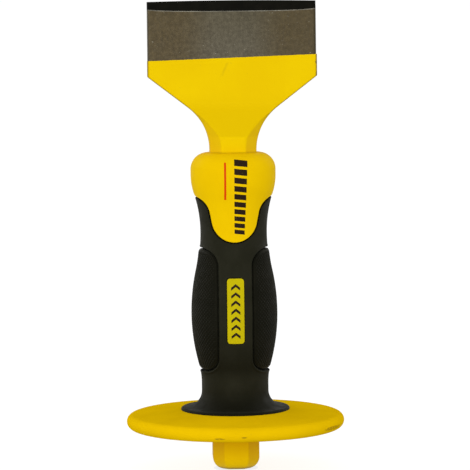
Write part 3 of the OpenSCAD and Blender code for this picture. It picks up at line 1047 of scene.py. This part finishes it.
def enamel_painted_shade(look, facing):
    """Painted shade: deeper yellow on the up-tilted cheeks, on the head under the guard and on the bar's
    sides turned away from the light.
    """
    height = look.position()[2]
    below_blade = look.mm_ramp(height, BLADE_ROOT_Z - 3, BLADE_ROOT_Z + 8, (1, 0))
    # Painted shade on the cheeks, which tilt up away from the light
    look.cover(ENAMEL_CHEEK_SHADE, look.mm_ramp(height, CHEEK_Z, CHEEK_Z + 1), below_blade)
    # Painted shade on the head, deeper and more orange under the guard
    below_grip = look.mm_ramp(height, 60, 62, (1, 0))
    look.cover(ENAMEL_HEAD_SHADE, look.mm_ramp(height, 4, GUARD_Z, (0.3, 1)), below_grip)
    # Painted shade on the bar's sides and chamfers, which turn away from the light
    on_bar = look.mm_ramp(height, SHOULDER_Z, BLADE_ROOT_Z, (1, 0))
    look.cover(ENAMEL_SIDE_SHADE, look.ramp(look.unsigned(facing[0]), 0.4, 0.8, (0, 0.28)), on_bar)


def enamel_chips(look, rounded):
    """Chips down to dark steel along the blade's side edges."""
    near_side = look.mm_ramp(look.unsigned(look.position()[0]), BLADE_HALF - 0.6, BLADE_HALF)
    chips = look.times(near_side, look.ramp(look.noise(1.6, 3, 0.6, (1, 1, 1.6)), 0.60, 0.64))
    for spot in EDGE_CHIPS:
        chips = look.calc("MAXIMUM", chips, look.ramp(scuff(look, *spot), 0.05, 0.3))
    look.cover(ENAMEL_CHIP, chips, rounded)


def enamel_edge_shade(look, facing, rounded):
    """Painted shade at the collar and round the edges of the shoulders and the head, on faces turned
    sideways or down.
    """
    height = look.position()[2]
    # Painted shade in the gap where the bar enters the collar
    joint = look.unsigned(look.calc("SUBTRACT", height, COLLAR_TOP_Z * MM))
    look.cover(ENAMEL_JOINT_SHADE, look.mm_ramp(joint, 0, JOINT_HEIGHT, (0.5, 0)))
    # Painted shade on faces turned sideways above the cheeks and turned down on the head
    sideways = look.times(look.unsigned(facing[0]), look.mm_ramp(height, CHEEK_Z, BLADE_ROOT_Z))
    down = look.times(facing[2], look.mm_ramp(height, GUARD_Z, GUARD_Z + 1, (-0.8, -1)))
    turned = look.calc("MAXIMUM", sideways, down)
    most = look.mm_ramp(height, SHADE_LOW_Z, SHADE_HIGH_Z, (0, 0.65))
    look.cover(ENAMEL_EDGE_SHADE, look.ramp(turned, 0.05, 0.4, (0, most)), rounded)
    look.cover(ENAMEL_DEEP_EDGE_SHADE, look.ramp(turned, 0.5, 0.85, (0, 0.85)), rounded)


def enamel_material():
    """Yellow enamel with orange peel, chipped edges, a faint scratch and painted shade."""
    look = new_look("yellow_enamel", ENAMEL)
    facing = look.facing()
    # Less on the blade's side faces, which are at right angles to the front
    rounded = look.ramp(look.unsigned(facing[1]), 0.02, 0.2, (0.12, 1))
    look.patches(ENAMEL_DEEP, 20, 0.35, 0.7, detail=4, rough=0.5)
    look.patches(ENAMEL_SPECK, 1.0, 0.69, 0.78, 0.3, detail=2)
    enamel_painted_shade(look, facing)
    enamel_chips(look, rounded)
    look.cover(ENAMEL_SCRATCH, scratch(look, *SCRATCH), SCRATCH_COVER)
    enamel_edge_shade(look, facing, rounded)
    dents = look.bump(look.noise(6), 0.05, 0.35)
    normal = look.bump(look.noise(1.3, 2), 0.02, 0.6, dents)
    shine = look.shine(4, 0.32, 0.45)
    return look.material(shine, normal, Specular_IOR_Level=0.08, Specular_Tint=YELLOW_TINT)


STEEL = rgb(0.072, 0.062, 0.038)
STEEL_CLOUD = rgb(0.080, 0.069, 0.043)
STEEL_LOW = rgb(0.094, 0.083, 0.058)
STEEL_ENDS = rgb(0.067, 0.048, 0.019)
STEEL_MARKS = rgb(0.037, 0.032, 0.021)
STEEL_MOTTLE = rgb(0.039, 0.033, 0.022)
STEEL_SPECK = rgb(0.35, 0.34, 0.28)
# Painted highlight along the blade's side edges
STEEL_SIDE_HIGHLIGHT = rgb(0.19, 0.175, 0.14)


def steel_material():
    """Mottled warm grey steel with fine upright marks, brown ends and a painted highlight along the side
    edges.
    """
    look = new_look("ground_steel", STEEL)
    side, _, height = look.position()
    side = look.unsigned(side)
    marks = look.noise(0.35, 3, 0.6, (1, 1, 22))
    look.patches(STEEL_CLOUD, 13, 0.35, 0.68, rough=0.45)
    look.cover(STEEL_LOW, look.mm_ramp(height, 188, 206, (0.7, 0)))
    look.cover(STEEL_ENDS, look.mm_ramp(side, 6, 25, (0, 0.8)))
    look.cover(STEEL_MARKS, look.ramp(marks, 0.3, 0.7, (0, 0.28)))
    look.patches(STEEL_MOTTLE, 1.2, 0.35, 0.7, 0.3, detail=4)
    look.patches(STEEL_SPECK, 0.9, 0.71, 0.77, 0.5, detail=2)
    # Painted highlight along the blade's side edges
    look.cover(STEEL_SIDE_HIGHLIGHT, look.mm_ramp(side, BLADE_HALF - 0.75, BLADE_HALF - 0.4, (0, 0.8)))
    return look.material(look.shine(1.5, 0.48, 0.56), look.bump(marks, 0.015, 0.6), Metallic=0.85)


# Painted highlight along the blade face's edge at the bevel
EDGE_HIGHLIGHT = rgb(0.09, 0.083, 0.065)
EDGE_HIGHLIGHT_BRIGHT = rgb(0.17, 0.16, 0.13)


def edge_highlight_material():
    """Painted highlight: lighter metal along the edge where the blade face meets the bevel."""
    look = new_look("bright_edge", EDGE_HIGHLIGHT)
    look.patches(EDGE_HIGHLIGHT_BRIGHT, 6, 0.38, 0.62, detail=4)
    normal = look.bump(look.noise(0.5, 2), 0.01, 0.4)
    return look.material(look.shine(1.5, 0.4, 0.55, detail=3), normal, Metallic=0.85)


# Painted reflection: near black for the dark surroundings that the bevel reflects
BEVEL_DARK_REFLECTION = rgb(0.003, 0.003, 0.0015)
BEVEL_WORN = rgb(0.006, 0.0055, 0.003)


def bevel_material():
    """The cutting bevel, painted nearly black for the dark surroundings that its tilted face reflects."""
    look = new_look("black_bevel", BEVEL_DARK_REFLECTION)
    look.patches(BEVEL_WORN, 6, 0.35, 0.7, detail=5)
    marks = look.noise(0.4, 3, 0.6, (1, 1, 12))
    shine = look.ramp(marks, 0.3, 0.7, (0.4, 0.55))
    return look.material(shine, look.bump(marks, 0.01, 0.5), Specular_IOR_Level=0.06)


SLEEVE_BLACK = rgb(0.0132, 0.0133, 0.0075), rgb(0.0165, 0.0163, 0.0098)
PAD_BLACK = rgb(0.0040, 0.0042, 0.0022), rgb(0.0062, 0.0060, 0.0034)
# Painted shade for the faces inside the grooves
GROOVE_SHADE = rgb(0.0012, 0.0012, 0.0007), rgb(0.0018, 0.0018, 0.0010)
RUBBER_DUST = rgb(0.10, 0.09, 0.06)
RUBBER_SHADE = rgb(0.003, 0.003, 0.001)
RUBBER_TINT = rgb(1.0, 0.95, 0.7)
SHEEN_TINT = rgb(1.0, 0.97, 0.75)


def rubber_material(name, colour, worn, grain, rough, gloss, sheen):
    """Matt black rubber with fine grain and dust, and painted shade that darkens it at the foot and under
    the barrel.
    """
    look = new_look(name, colour)
    height = look.position()[2]
    look.patches(worn, 9, 0.35, 0.7, detail=5)
    look.patches(RUBBER_DUST, 0.7, 0.70, 0.80, 0.2, detail=2)
    # Painted shade low on the grip near the foot and on faces turned down under the barrel
    look.cover(RUBBER_SHADE, look.mm_ramp(height, 29, 41, (0.75, 0)))
    turned_down = look.ramp(look.facing()[2], -0.28, -0.05, (0.55, 0))
    look.cover(RUBBER_SHADE, turned_down, look.mm_ramp(height, 58, 68, (1, 0)))
    shine = look.shine(4, rough - 0.05, rough + 0.1)
    normal = look.bump(look.noise(grain, rough=0.6), 0.03, 0.7)
    fixed = {"Specular_IOR_Level": gloss, "Specular_Tint": RUBBER_TINT}
    return look.material(shine, normal, Sheen_Weight=sheen, Sheen_Tint=SHEEN_TINT, **fixed)


BLACK_INK = rgb(0.022, 0.012, 0.006)
RED_INK = rgb(0.72, 0.055, 0.001)
INK_GAP = rgb(0.3, 0.2, 0.02)


def ink_material(name, colour, uneven=0.3):
    """Pad-printed ink with tiny pinholes of uneven cover."""
    look = new_look(name, colour)
    look.patches(INK_GAP, 0.6, 0.62, 0.72, uneven)
    normal = look.bump(look.noise(0.3, 2), 0.01, 0.5)
    return look.material(0.5, normal, Specular_IOR_Level=0.05)


# ---- stage, light and camera, in metres ----

CAMERA_DISTANCE = 1.27
CAMERA_ELEVATION = math.radians(4.6)
CAMERA_AZIMUTH = math.radians(-1.95)
CAMERA_ROLL = math.radians(-0.575)
CAMERA_LENS = 215.6
CAMERA_TARGET = Vector((0, 0, 0.105))
CAMERA_SHIFT = (0.0028, 0.0039)
FLOOR_R = 4.0
SWEEP_R = 5.0
WHITE = rgb(1, 1, 1)
FLOOR_GLOW = 0.86


def floor_material():
    """White floor that glows softly like a lit backdrop."""
    look = new_look("white_floor", rgb(0.2, 0.2, 0.2))
    look.cover(rgb(0.22, 0.22, 0.22), look.noise(4000, 2))
    return look.material(0.9, Emission_Color=WHITE, Emission_Strength=FLOOR_GLOW)


def make_floor():
    """A plain floor that sweeps up all round, just under the struck face."""
    turn = np.linspace(0, math.pi / 2, 24)
    r = np.append(0.01, FLOOR_R + SWEEP_R * np.sin(turn))
    z = np.append(0, SWEEP_R * (1 - np.cos(turn))) - 0.0001
    phi = np.linspace(0, 2 * math.pi, 96, endpoint=False)
    points = around(r[:, None], z[:, None], phi).reshape(-1, 3)
    faces = grid_faces(len(r), len(phi), closed_columns=True) + [list(range(len(phi)))]
    mesh = bpy.data.meshes.new("studio_floor")
    mesh.from_pydata(points.tolist(), [], faces)
    mesh.shade_smooth()
    mesh.materials.append(floor_material())
    floor = bpy.data.objects.new("studio_floor", mesh)
    floor.visible_diffuse = False
    floor.visible_glossy = False
    SCENE.collection.objects.link(floor)


def make_light(name, place, size, power):
    """A square softbox that points at the middle of the tool."""
    data = bpy.data.lights.new(name, "AREA")
    data.shape = "SQUARE"
    data.size = size
    data.energy = power
    light = bpy.data.objects.new(name, data)
    light.location = place
    light.rotation_euler = (CAMERA_TARGET - Vector(place)).to_track_quat("-Z", "Y").to_euler()
    SCENE.collection.objects.link(light)


def make_world():
    """Soft white light from all round, a little stronger from above."""
    world = bpy.data.worlds.new("studio")
    look = Look(world, WHITE)
    height = look.split(look.coordinates["Generated"])[2]
    light = look.ramp(height, -0.4, 0.4, (0.56, 0.66))
    background = look.node("Background", {"Color": look.base, "Strength": light})
    look.node("OutputWorld", {"Surface": background.outputs[0]})
    SCENE.world = world
    SCENE.view_settings.view_transform = "Standard"


def make_camera():
    """The camera where the photograph was taken from."""
    data = bpy.data.cameras.new("camera")
    data.lens = CAMERA_LENS
    data.shift_x, data.shift_y = CAMERA_SHIFT
    data.clip_end = 1000
    camera = bpy.data.objects.new("camera", data)
    level = math.cos(CAMERA_ELEVATION)
    side, back = level * math.sin(CAMERA_AZIMUTH), -level * math.cos(CAMERA_AZIMUTH)
    direction = Vector((side, back, math.sin(CAMERA_ELEVATION)))
    aim = (-direction).to_track_quat("-Z", "Y").to_matrix().to_4x4()
    place = Matrix.Translation(CAMERA_TARGET + CAMERA_DISTANCE * direction)
    camera.matrix_world = place @ aim @ Matrix.Rotation(CAMERA_ROLL, 4, "Z")
    SCENE.collection.objects.link(camera)
    bpy.context.scene.camera = camera


def make_stage():
    """Camera, surroundings, floor and six softboxes."""
    make_camera()
    make_world()
    make_floor()
    make_light("key_softbox", (-0.4, -2.0, 0.2), 1.3, 26)
    make_light("fill_softbox", (0.9, -1.9, 0.15), 1.0, 3)
    make_light("left_softbox", (-2.0, -0.1, 0.2), 1.2, 2.5)
    make_light("right_softbox", (2.0, 0.1, 0.2), 1.0, 1.3)
    make_light("left_rim_softbox", (-1.6, 1.0, 0.9), 1.0, 6.5)
    make_light("right_rim_softbox", (1.6, 1.0, 0.9), 1.0, 4.5)


def make_tool():
    """Every piece of the tool with its material."""
    collar = yellow_material("collar_plastic", *COLLAR_YELLOW, grain=0.35, rough=0.42, gloss=0.01)
    worn = {"soil": 0.35, "scuffs": GUARD_SCUFFS}
    guard = yellow_material("guard_plastic", *GUARD_YELLOW, grain=0.45, rough=0.45, gloss=0, **worn)
    inlay = yellow_material("badge_plastic", *BADGE_YELLOW, grain=0.3, rough=0.4, gloss=0.05)
    sleeve = rubber_material("sleeve_rubber", *SLEEVE_BLACK, grain=0.3, rough=0.55, gloss=0.06, sheen=0.02)
    pads = rubber_material("pad_rubber", *PAD_BLACK, grain=0.25, rough=0.55, gloss=0.06, sheen=0.05)
    # Painted shade for the faces inside the grooves round the pads and the collar
    grooves = rubber_material("groove_shade_rubber", *GROOVE_SHADE, grain=0.3, rough=0.6, gloss=0.02, sheen=0)
    ink = ink_material("black_ink", BLACK_INK)
    red = ink_material("red_ink", RED_INK, uneven=0.15)
    make_chisel([enamel_material(), steel_material(), bevel_material(), edge_highlight_material()])
    make_core(collar)
    make_sleeve([sleeve, grooves])
    make_pads(pads)
    make_guard(guard)
    make_badges(inlay, ink)
    make_collar_prints(ink, red)


make_stage()
make_tool()
bpy.context.view_layer.update()
